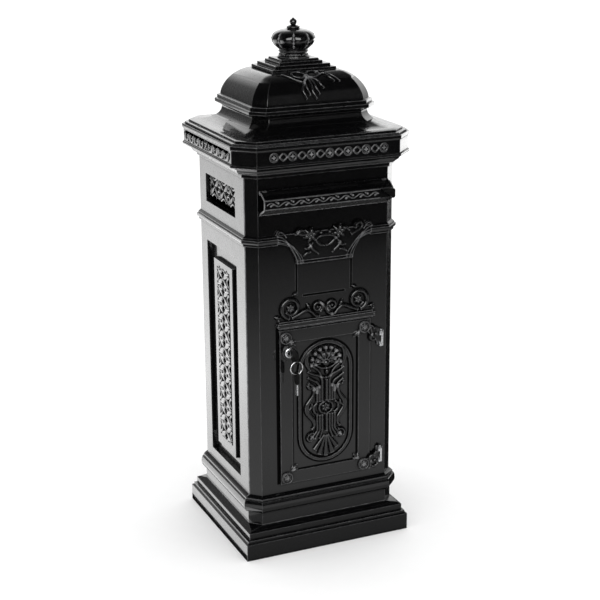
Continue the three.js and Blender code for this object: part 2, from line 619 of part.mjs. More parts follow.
function lockCam() {
  const shape = new THREE.Shape();
  shape.absarc(LOCK.x, LOCK.z, CAM.half, Math.PI, 2 * Math.PI, false);
  shape.lineTo(LOCK.x + CAM.half, LOCK.z + CAM.reach - 2);
  shape.lineTo(LOCK.x + CAM.half - 2, LOCK.z + CAM.reach);
  shape.lineTo(LOCK.x - CAM.half, LOCK.z + CAM.reach);
  const screwHoleInCam = atLock(rod(CAM_SCREW.radius + GAP, CAM.front - 1, CAM.front + 4, 8));
  return cut(plate(shape, CAM.front, CAM.front + CAM.thick), screwHoleInCam);
}

function camScrew() {
  const seat = CAM.front + CAM.thick + GAP;
  const { radius, head, headHeight } = CAM_SCREW;
  const tip = FRONT + 2;
  const profile = [[0, tip], [radius, tip], [radius, seat], [head, seat], [head, seat + headHeight],
    [0, seat + headHeight]];
  return atLock(turned(profile, 8));
}

const KEY_HOLE_Y = -KEY.hole;
const KEY_HEAD_Y = PLUG_FACE - 4;
const RING_Z = LOCK.z - KEY.headHeight / 2 + 2.6 + KEY.ringWire + 0.9 - KEY.ring;
const halfKey = KEY.thick / 2;

// A key head, flat in Y and Z: a rounded plate with a slot for the ring.
function keyHead(y0, y1, z0, z1, slot) {
  const radius = 7;
  const shape = new THREE.Shape();
  shape.moveTo(y0 + radius, z0);
  shape.lineTo(y1 - radius, z0);
  shape.absarc(y1 - radius, z0 + radius, radius, -Math.PI / 2, 0, false);
  shape.absarc(y1 - radius, z1 - radius, radius, 0, Math.PI / 2, false);
  shape.absarc(y0 + radius, z1 - radius, radius, Math.PI / 2, Math.PI, false);
  shape.absarc(y0 + radius, z0 + radius, radius, Math.PI, Math.PI * 1.5, false);
  const hole = box([LOCK.x - 5, slot.y - 2.6, slot.z0], [LOCK.x + 5, slot.y + 2.6, slot.z1]);
  return cut(sidePlate(shape, LOCK.x - halfKey, LOCK.x + halfKey), hole);
}

const keyBottom = LOCK.z - KEY.headHeight / 2;
const keyTop = keyBottom + KEY.headHeight;
const keySlot = { y: KEY_HOLE_Y, z0: keyBottom + 2.6, z1: keyBottom + 12 };
const mainKeyHead = () => keyHead(KEY_HOLE_Y - 8, KEY_HEAD_Y, keyBottom, keyTop, keySlot);

function keyBlade() {
  return box([LOCK.x - 1, KEY_HEAD_Y + GAP, LOCK.z - 3.9], [LOCK.x + 1, FRONT - 1.5, LOCK.z + 3.9]);
}

function keyRing() {
  const ring = new THREE.TorusGeometry(KEY.ring, KEY.ringWire, 8, 28);
  return solid(ring.rotateX(Math.PI / 2)).translate([LOCK.x, KEY_HOLE_Y, RING_Z]);
}

const RING_FOOT = RING_Z - KEY.ring;
const SPARE = { top: RING_FOOT + 4.6, bottom: RING_FOOT - 20, tip: RING_FOOT - 42 };
const spareSlot = { y: KEY_HOLE_Y, z0: RING_FOOT - 4, z1: RING_FOOT + 1.6 };
const spareKeyHead = () => keyHead(KEY_HOLE_Y - 10, KEY_HOLE_Y + 10, SPARE.bottom, SPARE.top, spareSlot);

function spareKeyBlade() {
  return box([LOCK.x - 1, KEY_HOLE_Y - 3.9, SPARE.tip], [LOCK.x + 1, KEY_HOLE_Y + 3.9, SPARE.bottom - GAP]);
}

// ---- The whole letter box ---------------------------------------------------------------------------------
const tube = bodyTube();
addPiece("base_plinth", plinth(), PAINT);
addPiece("front_panel", frontPanel(tube), PAINT);
addPiece("back_panel", tube.intersect(frontSlab(1)), PAINT);
addPiece("left_panel", sidePanel(tube, -1), PAINT);
addPiece("right_panel", sidePanel(tube, 1), PAINT);
addPiece("cornice", cornice(), PAINT);
addPiece("roof", roof(), PAINT);
addPiece("finial_plinth", finialPlinth(), PAINT);
addPiece("crown_finial", crown(), PAINT);
addPiece("finial_stud", finialStud(), STEEL);
addPiece("finial_washer", ringOf(STUD + GAP, 12, DOME_TOP - WALL - 2.5, DOME_TOP - WALL - GAP, ROUND), STEEL);
addPiece("finial_nut", ringOf(STUD + GAP, 7.5, DOME_TOP - WALL - 9, DOME_TOP - WALL - 2.8, 6), STEEL);

for (const [corner, [side, back]] of Object.entries(CORNERS)) {
  const [x, y] = [side * LUG_SCREW_X, back * LUG.y];
  const roofPlace = [side * ROOF_LUG.x, back * ROOF_LUG.y];
  addPiece(`corner_angle_${corner}`, cornerAngle(side, back), STEEL);
  addPiece(`base_screw_${corner}`, screw(x, y, PLINTH_TOP + LUG.height + GAP, 22, false), STEEL);
  addPiece(`cornice_screw_${corner}`, screw(x, y, PANEL_TOP - LUG.height - GAP, 15, true), STEEL);
  addPiece(`roof_screw_${corner}`, screw(...roofPlace, CORNICE.lugFoot - GAP, 18.5, true), STEEL);
}

addPiece("letter_flap", letterFlap(), PAINT);
addPiece("flap_knob", flapKnob(), PLASTIC);
addPiece("flap_pin", flapPin(), STEEL);
addPiece("door", door(), PAINT);
for (const end of ["top", "bottom"]) {
  addPiece(`hinge_strap_${end}`, hingeStrap(end), PAINT);
  addPiece(`hinge_bracket_${end}`, hingeBracket(end), PAINT);
  addPiece(`hinge_pin_${end}`, hingePin(end), STEEL);
  addPiece(`door_rosette_${end}`, cornerRosette(end), PAINT);
}
addPiece("lock_barrel", lockBarrel(), CHROME);
addPiece("lock_nut", lockNut(), STEEL);
addPiece("lock_plug", lockPlug(), CHROME);
addPiece("lock_cam", lockCam(), STEEL);
addPiece("cam_screw", camScrew(), STEEL);
addPiece("key_head", mainKeyHead(), PLASTIC);
addPiece("key_blade", keyBlade(), CHROME);
addPiece("key_ring", keyRing(), CHROME);
addPiece("spare_key_head", spareKeyHead(), PLASTIC);
addPiece("spare_key_blade", spareKeyBlade(), CHROME);

export default letterBox;
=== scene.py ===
"""Looks of a cast-aluminium pillar letter box: gloss black paint, cast ornament, a chrome lock and keys."""
import json
import math

import bmesh
import bpy
from mathutils import Matrix, Vector
from mathutils.bvhtree import BVHTree


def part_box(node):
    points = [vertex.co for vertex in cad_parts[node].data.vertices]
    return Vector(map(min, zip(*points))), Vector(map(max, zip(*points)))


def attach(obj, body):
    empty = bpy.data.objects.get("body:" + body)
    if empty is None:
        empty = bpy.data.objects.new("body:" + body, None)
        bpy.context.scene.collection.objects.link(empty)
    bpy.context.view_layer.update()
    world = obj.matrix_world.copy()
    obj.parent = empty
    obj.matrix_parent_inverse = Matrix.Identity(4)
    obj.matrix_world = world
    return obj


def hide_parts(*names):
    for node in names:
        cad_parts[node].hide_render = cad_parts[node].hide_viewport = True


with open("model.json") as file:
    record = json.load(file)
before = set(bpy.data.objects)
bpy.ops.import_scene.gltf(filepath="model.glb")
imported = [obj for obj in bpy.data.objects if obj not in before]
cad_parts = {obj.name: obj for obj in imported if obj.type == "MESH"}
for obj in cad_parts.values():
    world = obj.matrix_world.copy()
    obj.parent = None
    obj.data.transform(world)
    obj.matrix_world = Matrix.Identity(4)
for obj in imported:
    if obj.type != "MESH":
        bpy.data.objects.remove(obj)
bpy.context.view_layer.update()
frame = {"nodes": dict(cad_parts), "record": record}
nodes = frame["nodes"]

MM = 0.001
# Sizes are in millimetres, except for the camera's place, the cards and the shaders, which are in metres.
HALF_WIDTH = 153.1  # of the body, between its plain faces
HALF_DEPTH = 136.5
SINK = 0.8  # how far cast ornament is rooted in its ground
SECTION = 7  # facets across a raised stroke
FLAT = 0.3  # crest of a stroke with a flat top; 1 is a half round
SHADE_GROUND_RISE = 0.25  # how far a painted-shade matt ground stands on its face
DARK_STRIP_RISE = 0.3  # how far a flat dark strip, such as a painted-shade strip, stands on its face
APRON_FACE = -3.6  # depth of the apron's face, which stands in front of the plain face
PANEL_SHIFT = 5.0  # how far the side's sunk panels stand behind the middle
WELL = {"half": 34.0, "z": (190.0, 547.0), "depth": 4.6}  # of a side's lower panel
WINDOW = {"half": 78.0, "z": (669.0, 725.0), "depth": 10.2}  # the side's upper panel
FRIEZE = {"reach": 27.2, "z": 796.5}  # the cornice's plain band: how far out, and its middle height
CAMERA = {"place": (-1.09235, -2.50781, 1.32716), "yaw": -23.73, "pitch": -17.45, "roll": -0.4, "lens": 86.1}
PAINT = (0.0012, 0.0012, 0.0014)
# painted highlight: the pale grey laid along the sharp edges of the gloss paint
PAINTED_EDGE_HIGHLIGHT = (0.2, 0.2, 0.204)


# ---- Camera --------------------------------------------------------------------------------------
def make_camera():
    data = bpy.data.cameras.new("camera")
    data.lens = CAMERA["lens"]
    data.sensor_width = 36
    data.clip_end = 60
    camera = bpy.data.objects.new("camera", data)
    yaw, pitch, roll = (math.radians(CAMERA[turn]) for turn in ("yaw", "pitch", "roll"))
    forward = Vector((math.sin(-yaw) * math.cos(pitch), math.cos(yaw) * math.cos(pitch), math.sin(pitch)))
    right = forward.cross(Vector((0, 0, 1))).normalized()
    up = right.cross(forward)
    rolled_right = right * math.cos(roll) + up * math.sin(roll)
    rolled_up = up * math.cos(roll) - right * math.sin(roll)
    turn = Matrix((rolled_right, rolled_up, -forward)).transposed()
    camera.matrix_world = Matrix.Translation(CAMERA["place"]) @ turn.to_4x4()
    bpy.context.scene.collection.objects.link(camera)
    bpy.context.scene.camera = camera


# ---- Materials -----------------------------------------------------------------------------------
class Shader:
    """A node material built up step by step round one Principled shader."""

    def __init__(self, name, **sockets):
        self.material = bpy.data.materials.new(name)
        self.material.use_nodes = True
        self.tree = self.material.node_tree
        self.surface = self.tree.nodes["Principled BSDF"]
        for socket, value in sockets.items():
            self.surface.inputs[socket.replace("_", " ")].default_value = value
        self.place = self.add("ShaderNodeTexCoord").outputs["Object"]

    def add(self, kind, **values):
        node = self.tree.nodes.new(kind)
        for key, value in values.items():
            if key in node.inputs:
                node.inputs[key].default_value = value
            else:
                setattr(node, key, value)
        return node

    def link(self, source, target):
        self.tree.links.new(source, target)

    def noise(self, scale, detail=2.0):
        node = self.add("ShaderNodeTexNoise", Scale=scale, Detail=detail)
        self.link(self.place, node.inputs["Vector"])
        return node.outputs["Fac"]

    def spread(self, value, low, high):
        node = self.add("ShaderNodeMapRange")
        node.inputs["From Min"].default_value = 0.3
        node.inputs["From Max"].default_value = 0.7
        node.inputs["To Min"].default_value = low
        node.inputs["To Max"].default_value = high
        self.link(value, node.inputs["Value"])
        return node.outputs["Result"]

    def vary(self, socket, value, low, high):
        self.link(self.spread(value, low, high), self.surface.inputs[socket])

    def tint(self, value, dark, light):
        node = self.add("ShaderNodeMix", data_type="RGBA")
        node.inputs["A"].default_value = (*dark, 1)
        node.inputs["B"].default_value = (*light, 1)
        self.link(value, node.inputs["Factor"])
        self.link(node.outputs["Result"], self.surface.inputs["Base Color"])

    def edges(self, reach, patches):
        """1 at sharp outward edges, where little of the solid lies within reach of the surface, else 0,
        broken into patches; it marks where the painted edge highlight goes.
        """
        depth = self.add("ShaderNodeAmbientOcclusion", samples=6, Distance=reach)
        depth.inside = depth.only_local = True
        thin = self.add("ShaderNodeMapRange")
        thin.inputs["From Min"].default_value = 0.97
        thin.inputs["From Max"].default_value = 0.5
        self.link(depth.outputs["AO"], thin.inputs["Value"])
        edge_highlight = self.add("ShaderNodeMath", operation="MULTIPLY")
        self.link(thin.outputs["Result"], edge_highlight.inputs[0])
        self.link(self.spread(patches, 0.35, 1.0), edge_highlight.inputs[1])
        return edge_highlight.outputs[0]

    def openness(self, reach):
        """0 in crevices, rising to 1 on open faces; it fades the gloss coat out of crevices as painted shade.
        """
        space = self.add("ShaderNodeAmbientOcclusion", samples=8, Distance=reach)
        gloss = self.add("ShaderNodeMapRange")
        gloss.inputs["From Min"].default_value = 0.55
        gloss.inputs["From Max"].default_value = 0.95
        self.link(space.outputs["AO"], gloss.inputs["Value"])
        return gloss.outputs["Result"]

    def bump(self, *layers):
        """Layers of (height, depth, strength), each laid over the one before."""
        normal = None
        for height, depth, strength in layers:
            node = self.add("ShaderNodeBump", Distance=depth, Strength=strength)
            self.link(height, node.inputs["Height"])
            if normal is not None:
                self.link(normal, node.inputs["Normal"])
            normal = node.outputs["Normal"]
        self.link(normal, self.surface.inputs["Normal"])


def gloss_paint(name, crevices=True):
    """Thick gloss black with a painted highlight: pale grey tinted along every sharp outward edge, in
    patches. With crevices on, the gloss coat fades out in crevices as painted shade.
    """
    shader = Shader(name, Coat_Roughness=0.05, Coat_IOR=1.6, IOR=1.45, Specular_IOR_Level=0.12)
    grain = shader.noise(420, 3)
    flow = shader.noise(60, 2)
    # painted highlight: pale grey along sharp outward edges
    shader.tint(shader.edges(0.0016, shader.noise(90, 3)), PAINT, PAINTED_EDGE_HIGHLIGHT)
    shader.vary("Roughness", flow, 0.22, 0.34)
    if crevices:
        # painted shade: the coat fades out in crevices, so they turn black
        shader.link(shader.openness(0.007), shader.surface.inputs["Coat Weight"])
    else:
        shader.surface.inputs["Coat Weight"].default_value = 1.0
    shader.bump((flow, 0.0003, 0.2), (grain, 0.00005, 0.25))
    return shader.material


def chrome():
    shader = Shader("chrome_plate", Metallic=1.0)
    wear = shader.noise(300, 4)
    shader.tint(wear, (0.88, 0.89, 0.9), (0.96, 0.96, 0.97))
    shader.vary("Roughness", wear, 0.22, 0.34)
    shader.bump((wear, 0.00005, 0.2))
    return shader.material


def zinc():
    shader = Shader("zinc_plated_steel", Metallic=1.0)
    spangle = shader.noise(220, 5)
    shader.tint(spangle, (0.42, 0.43, 0.44), (0.62, 0.63, 0.64))
    shader.vary("Roughness", spangle, 0.28, 0.45)
    shader.bump((spangle, 0.0001, 0.3))
    return shader.material


def key_plastic():
    shader = Shader("moulded_black_plastic", IOR=1.49, Specular_IOR_Level=0.15)
    grain = shader.noise(900, 3)
    shader.tint(grain, (0.002, 0.002, 0.002), (0.004, 0.004, 0.004))
    shader.vary("Roughness", grain, 0.3, 0.42)
    shader.bump((grain, 0.00008, 0.4))
    return shader.material


def painted_shade_ground():
    """Flat near-matt black laid as painted shade: dark outlines round ornament, dark strips in grooves and
    seams, and dark grounds behind lattices. It has a stippled bump.
    """
    shader = Shader("painted_shade_matt_black", IOR=1.45, Specular_IOR_Level=0.02)
    stipple = shader.noise(900, 3)
    shader.tint(stipple, (0.0008, 0.0008, 0.0008), (0.0025, 0.0025, 0.0025))
    shader.vary("Roughness", stipple, 0.55, 0.75)
    shader.bump((stipple, 0.0006, 0.8))
    return shader.material


FINISH = {
    "black_paint": gloss_paint("gloss_black_paint"),
    "raised_lattice": gloss_paint("gloss_black_paint_on_lattice", crevices=False),
    "painted_shade_ground": painted_shade_ground(),
    "chrome": chrome(),
    "zinc_steel": zinc(),
    "key_plastic": key_plastic(),
}


def finish_cad_nodes():
    slots = {part["node"]: part["material_slot"] for part in frame["record"]["subparts"]}
    for name, node in nodes.items():
        node.data.materials.clear()
        node.data.materials.append(FINISH[slots[name]])
        soften_edges(node, 0.0009 if slots[name] == "black_paint" else 0.0003)


def soften_edges(node, width):
    weld = node.modifiers.new("weld", "WELD")
    weld.merge_threshold = 1e-5
    flat = node.modifiers.new("flat", "DECIMATE")
    flat.decimate_type = "DISSOLVE"
    flat.angle_limit = math.radians(0.5)
    node.modifiers.new("whole", "TRIANGULATE")
    bevel = node.modifiers.new("edges", "BEVEL")
    bevel.width = width
    bevel.segments = 2
    bevel.limit_method = "ANGLE"
    bevel.angle_limit = math.radians(28)
    bevel.harden_normals = True
    for face in node.data.polygons:
        face.use_smooth = True
    normals = node.modifiers.new("normals", "WEIGHTED_NORMAL")
    normals.keep_sharp = True


# ---- Lines for ornament: lists of (u, v) points in millimetres on a face -------------------------
def curve(*points, steps=7):
    """A smooth line through the points."""
    ends = [points[0], *points, points[-1]]
    line = []
    for p0, p1, p2, p3 in zip(ends, ends[1:], ends[2:], ends[3:]):
        for step in range(steps):
            t = step / steps
            line.append(tuple(
                0.5 * (2 * b + (c - a) * t + (2 * a - 5 * b + 4 * c - d) * t**2
                       + (3 * b - a - 3 * c + d) * t**3)
                for a, b, c, d in zip(p0, p1, p2, p3)
            ))
    return [*line, points[-1]]


def arc(centre, radius, start, end, steps):
    """Part of a circle; angles in degrees."""
    angles = [math.radians(start + (end - start) * i / steps) for i in range(steps + 1)]
    return [(centre[0] + radius * math.cos(a), centre[1] + radius * math.sin(a)) for a in angles]


def spiral(centre, outer, inner, start, turn):
    """A volute's line, from its outer radius in to its eye."""
    steps = 26
    line = []
    for i in range(steps + 1):
        t = i / steps
        angle = math.radians(start + turn * t)
        radius = outer * (inner / outer) ** t
        line.append((centre[0] + radius * math.cos(angle), centre[1] + radius * math.sin(angle)))
    return line


def mirrored(line, middle):
    return [(2 * middle - u, v) for u, v in line]


def taper(wide, narrow):
    """A width that falls steadily from wide to a share of it."""
    return lambda t: wide * (1 - (1 - narrow) * t)


def swell(most, least=0.12):
    """A width that is greatest at the middle, as a leaf's is."""
    return lambda t: most * max(least, math.sin(math.pi * t) ** 0.75)


def at(value, t):
    return value(t) if callable(value) else value


# ---- Raised cast ornament ------------------------------------------------------------------------
def on_front(depth=0.0):
    """A face looking to the front, depth behind the body's plain face."""
    return lambda u, v, lift: Vector((u, depth - lift - HALF_DEPTH, v)) * MM


def on_side(side, depth):
    """A face looking to one side, -1 or 1, depth behind the body's plain face."""
    return lambda u, v, lift: Vector((side * (HALF_WIDTH - depth + lift), u, v)) * MM


def on_dome(foot, slope):
    """Drapes ornament on the dome's front: v runs up from foot, and the face is met square at the slope."""
    roof = nodes["roof"].data
    corners = [vertex.co.copy() for vertex in roof.vertices]
    tree = BVHTree.FromPolygons(corners, [face.vertices[:] for face in roof.polygons])
    lean = math.radians(slope)
    inward = Vector((0, math.cos(lean), -math.sin(lean)))
    upward = Vector((0, math.sin(lean), math.cos(lean)))

    def place(u, v, lift):
        point = (Vector((u, *foot)) + upward * v) * MM
        hit = tree.ray_cast(point - inward * 0.2, inward)[0]
        return hit - inward * lift * MM

    return place


class Relief:
    """One mesh of raised ornament, built of closed strokes and beads that are rooted in a face. A halo width
    above 0 lays a thin matt black ground under it as painted shade, a dark outline which reaches that far out
    on both sides of each stroke."""

    def __init__(self, place, shade_halo_width=0.0):
        self.place = place
        self.mesh = bmesh.new()
        self.shade_halo_width = shade_halo_width
        # painted shade: a flat matt black ground under the strokes, for dark outlines
        self.ground = Relief(place) if shade_halo_width else None

    def skin(self, rows, closed=False):
        rows = [[self.mesh.verts.new(point) for point in row] for row in rows]
        pairs = list(zip(rows, rows[1:] + rows[:1] if closed else rows[1:]))
        for row, after in pairs:
            for k in range(len(row)):
                nxt = (k + 1) % len(row)
                self.mesh.faces.new((row[k], row[nxt], after[nxt], after[k]))
        if not closed:
            self.mesh.faces.new(rows[0])
            self.mesh.faces.new(rows[-1][::-1])

    def stroke(self, line, width, height, crest=1.0, closed=False):
        """A rounded bar along a line. Width and height may be functions of the way along, from 0 to 1."""
        last = len(line) - 1
        rows = []
        for i, (u, v) in enumerate(line[:-1] if closed else line):
            before = line[i - 1] if i else line[-2 if closed else 0]
            after = line[min(i + 1, last)]
            along = math.hypot(after[0] - before[0], after[1] - before[1]) or 1
            nu, nv = (before[1] - after[1]) / along, (after[0] - before[0]) / along
            half, rise = at(width, i / last) / 2, at(height, i / last)
            row = []
            for k in range(SECTION + 1):
                angle = math.pi * k / SECTION
                across = math.cos(angle) * half
                row.append(self.place(u + nu * across, v + nv * across, math.sin(angle) ** crest * rise))
            row.append(self.place(u - nu * half, v - nv * half, -SINK))
            row.append(self.place(u + nu * half, v + nv * half, -SINK))
            rows.append(row)
        self.skin(rows, closed)
        if self.ground:
            self.ground.stroke(line, lambda t: at(width, t) + 2 * self.shade_halo_width, SHADE_GROUND_RISE, FLAT, closed)

    def both(self, line, width, height, middle=0.0, crest=1.0):
        """The same stroke on both sides of a middle line."""
        self.stroke(line, width, height, crest)
        self.stroke(mirrored(line, middle), width, height, crest)

    def bead(self, centre, radius, height):
        """A domed boss, which stops a little short of its pole."""
        sides, rings = 12, 4
        levels = [(radius, -SINK)]
        for i in range(rings + 1):
            climb = math.pi / 2 * i / (rings + 0.4)
            levels.append((radius * math.cos(climb), math.sin(climb) * height))
        turns = [2 * math.pi * k / sides for k in range(sides)]
        rows = []
        for reach, lift in levels:
            spots = [(centre[0] + reach * math.cos(a), centre[1] + reach * math.sin(a)) for a in turns]
            rows.append([self.place(u, v, lift) for u, v in spots])
        self.skin(rows)
        if self.ground:
            self.ground.bead(centre, radius + self.shade_halo_width, SHADE_GROUND_RISE)

    def leaf(self, root, angle, length, width, height):
        """A pointed leaf, which grows out of its root at an angle in degrees."""
        turn = math.radians(angle)
        reaches = [length * i / 8 for i in range(9)]
        line = [(root[0] + reach * math.cos(turn), root[1] + reach * math.sin(turn)) for reach in reaches]
        self.stroke(line, swell(width), swell(height, 0.3), crest=0.7)

    def volutes(self, middle, centre, radius, start, turn, width, height, eye):
        """A pair of volutes, the second a mirror image of the first."""
        for side in (1, -1):
            place = (middle + side * centre[0], centre[1])
            first = start if side > 0 else 180 - start
            line = spiral(place, radius, radius * eye, first, side * turn)
            self.stroke(line, taper(width, 0.55), taper(height, 0.8))
            self.bead(place, radius * eye * 1.1, height * 1.15)

    def fan(self, root, middle, spread, count, inner, outer, width, height):
        """Flutes that radiate from a point, each ending in a round tip."""
        for i in range(count):
            angle = math.radians(middle + spread * (i / (count - 1) - 0.5))
            ends = [(root[0] + r * math.cos(angle), root[1] + r * math.sin(angle)) for r in (inner, outer)]
            line = curve(*ends, steps=6)
            self.stroke(line, lambda t: width * (0.45 + 0.55 * t), lambda t: height * (0.6 + 0.4 * t))
            self.bead(ends[1], width * 0.52, height)

    def flower(self, centre, radius, petals, height):
        for i in range(petals):
            angle = 360 * i / petals + 90
            self.leaf(centre, angle, radius, radius * 0.62, height * 0.8)
        self.bead(centre, radius * 0.3, height * 1.2)

    def finish(self, name, body, slot="black_paint", look=None):
        if self.ground:
            self.ground.finish(f"{name}_ground", body, look="painted_shade_ground")
        bmesh.ops.recalc_face_normals(self.mesh, faces=self.mesh.faces)
        new_piece(name, self.mesh, body, slot, look)


def new_piece(name, mesh, body, slot, look=None, sharp=40):
    """A piece in the finish of a material slot, or in the finish that look names instead."""
    for edge in mesh.edges:
        edge.smooth = len(edge.link_faces) == 2 and edge.calc_face_angle() < math.radians(sharp)
    data = bpy.data.meshes.new(name)
    mesh.to_mesh(data)
    mesh.free()
    for face in data.polygons:
        face.use_smooth = True
    piece = bpy.data.objects.new(name, data)
    bpy.context.scene.collection.objects.link(piece)
    data.materials.append(FINISH[look or slot])
    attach(piece, body)
    return piece


# ---- Ornament of the front -----------------------------------------------------------------------
def apron_moulding():
    """The string course dips round the apron: it turns down the hollow sides and runs along the ledge."""
    relief = Relief(on_front(APRON_FACE))
    for reach, width, height in ((0, 3.4, 3.6), (-6.2, 3.0, 5.0), (-11.5, 2.6, 2.6)):
        side = curve((97 + reach * 0.1, 643 + reach), (88 + reach * 0.4, 640 + reach),
                     (77 + reach * 0.75, 629 + reach * 0.6), (66 + reach * 0.9, 612 + reach * 0.3),
                     (59 + reach, 597), (57 + reach, 587))
        relief.both(side, width, height)
    for z, width, height in ((586.5, 3.6, 4.2), (591.5, 2.4, 2.4)):
        relief.stroke([(-57, z), (0, z), (57, z)], width, height)
    relief.both(curve((98, 644), (93, 651), (86, 648), (80, 640)), taper(5, 0.5), 5)
    relief.finish("apron_moulding", "case")


def apron_scrolls():
    """Two flowers under a low arch, with horns that sweep out of them and leaves below."""
    relief = Relief(on_front(APRON_FACE), 2.2)
    arch = curve((-20, 629), (-14, 634), (-4, 636.5), (8, 636), (17, 633), (24, 627))
    relief.stroke(arch, swell(6.5, 0.6), 5.5, 0.7)
    for u, v in ((-30, 639), (29, 640)):
        for i in range(6):
            relief.leaf((u, v), 60 * i + 15, 15, 8, 6)
        relief.bead((u, v), 5.4, 8.5)
    relief.stroke(curve((-38, 641), (-46, 642), (-54, 645), (-62, 643)), swell(9.5, 0.3), 6)
    relief.stroke(curve((-43, 649), (-52, 650), (-58, 645)), swell(5, 0.3), 5.5, 0.6)
    horn = curve((54, 632), (62, 636), (72, 641), (77, 648), (72, 653), (65, 650), (63, 643))
    relief.stroke(horn, 6.5, 6)
    relief.stroke(curve((38, 646), (44, 646), (50, 640)), swell(6, 0.4), 5, 0.6)
    relief.both(curve((22, 630), (12, 620), (2, 616)), swell(8, 0.3), 5.4)
    relief.both(curve((26, 624), (34, 615), (42, 614)), swell(8, 0.3), 5.4)
    relief.both(curve((14, 601), (20, 607), (27, 613), (32, 622)), swell(7, 0.3), 5)
    relief.both(curve((30, 606), (38, 605), (45, 600)), swell(6.5, 0.3), 4.6)
    for u in (-9, 9):
        relief.bead((u, 642), 3.6, 6)
    relief.finish("apron_scrolls", "case")


def dark_lines(name, body, place, lines):
    """Flat matt black strips laid as painted shade along grooves and seams; lines of (points, width)."""
    relief = Relief(place)
    for line, width in lines:
        relief.stroke(line, width, DARK_STRIP_RISE, FLAT)
    relief.finish(name, body, look="painted_shade_ground")


def panel_lines():
    """Painted shade: dark strips along the lines below the apron, and the painted shadow line round the
    doorway.
    """
    dark_lines("apron_panel_lines", "case", on_front(), [
        ([(-57, 585), (-57, 560), (-57, 524)], 4.2),
        ([(57, 585), (57, 560), (57, 524)], 4.2),
        ([(-44, 521), (0, 521), (44, 521)], 4.2),
        ([(-98.3, 141), (-98.3, 300), (-98.3, 461)], 5.4),
        ([(-100, 461), (0, 461), (97, 461)], 4.6),
    ])


def pediment():
    """Scrolls over the door: two large volutes, whose waved stems run in to two small ones."""
    relief = Relief(on_front(), 2.4)
    for middle, way in ((-70, -1), (72, 1)):
        start = -90 + 12 * way
        large = spiral((middle, 500), 20.5, 12.5, start, way * 400)
        relief.stroke(large, taper(8, 0.6), taper(6, 0.8), 0.5)
        relief.flower((middle, 499), 9.5, 6, 5.5)
        stem = curve(*((middle - way * along, z) for along, z in (
            (2, 480), (14, 484.5), (27, 490.5), (36, 491.5), (44, 486), (51, 478.5), (59, 477))))
        relief.stroke(stem, taper(6.5, 0.75), 5.6, 0.5)
        relief.leaf((middle - way * 40, 492), 90 - way * 28, 14, 6, 4.6)
        relief.leaf((middle + way * 22, 482), 90 - way * 70, 12, 6, 4.6)
        relief.leaf((middle - way * 4, 524), 90 + way * 65, 11, 5.5, 5)
    for middle, way in ((-15, -1), (15.5, 1)):
        small = spiral((middle, 495.5), 11.5, 5.5, -90 - way * 30, -way * 420)
        relief.stroke(small, taper(6, 0.55), 5.4, 0.5)
        relief.bead((middle, 495.5), 3, 5.5)
    link = curve((-10, 505), (-3, 499), (3, 489), (9, 480), (17, 477))
    relief.stroke(link, swell(6, 0.5), 5.8, 0.5)
    relief.finish("door_pediment", "case")


def head_bar_ears():
    relief = Relief(on_front(-1))
    for x, lean in ((-98, 1), (106, -1)):
        relief.bead((x + lean * 1.5, 467), 4.6, 8)
        relief.leaf((x + lean * 4, 474), 90 + lean * 20, 9, 5, 4.5)
    relief.finish("head_bar_ears", "case")


def front_frieze():
    """Roundels and lozenges in turn along the cornice."""
    relief = Relief(on_front(-FRIEZE["reach"]))
    z, pitch = FRIEZE["z"], 37
    for i in range(7):
        x = (i - 3) * pitch
        relief.stroke(arc((x, z), 7.4, 0, 360, 20), 3.4, 0.9, closed=True)
        relief.flower((x, z), 4.4, 4, 0.9)
    for i in range(6):
        x = (i - 2.5) * pitch
        for way in (1, -1):
            relief.stroke(curve((x - 8, z), (x, z + way * 6.5), (x + 8, z), steps=6), 3.0, 0.9)
    relief.finish("front_frieze_ornament", "case")


def dome_emblem():
    """A ribbon bow with long tails on the front of the dome."""
    relief = Relief(on_dome((-102, 885), 45), 1.8)
    knot = (-7, 46)
    relief.bead(knot, 5.5, 6)
    for line in (curve(knot, (-16, 60), (-30, 61), (-33, 50), (-20, 43), knot),
                 curve(knot, (0, 61), (14, 63), (20, 52), (8, 43), knot)):
        relief.stroke(line, 5, 4.6)
    ribbons = (
        curve((-54, 57), (-42, 48), (-28, 38), (-16, 34), knot),
        curve((16, 57), (26, 63), (36, 55), (46, 43), (56, 30)),
        curve((21, 51), (30, 53), (38, 41), (45, 31)),
        curve(knot, (-15, 34), (-14, 20), (-10, 7)),
        curve(knot, (-19, 27), (-23, 14), (-18, 1)),
        curve(knot, (1, 34), (4, 20), (9, 7)),
        curve(knot, (-4, 28), (-4, 12), (2, 0)),
        curve(knot, (10, 36), (15, 26), (20, 18)),
    )
    for line in ribbons:
        relief.stroke(line, swell(5.6, 0.5), 4.2)
    relief.finish("dome_ribbon_bow", "case")


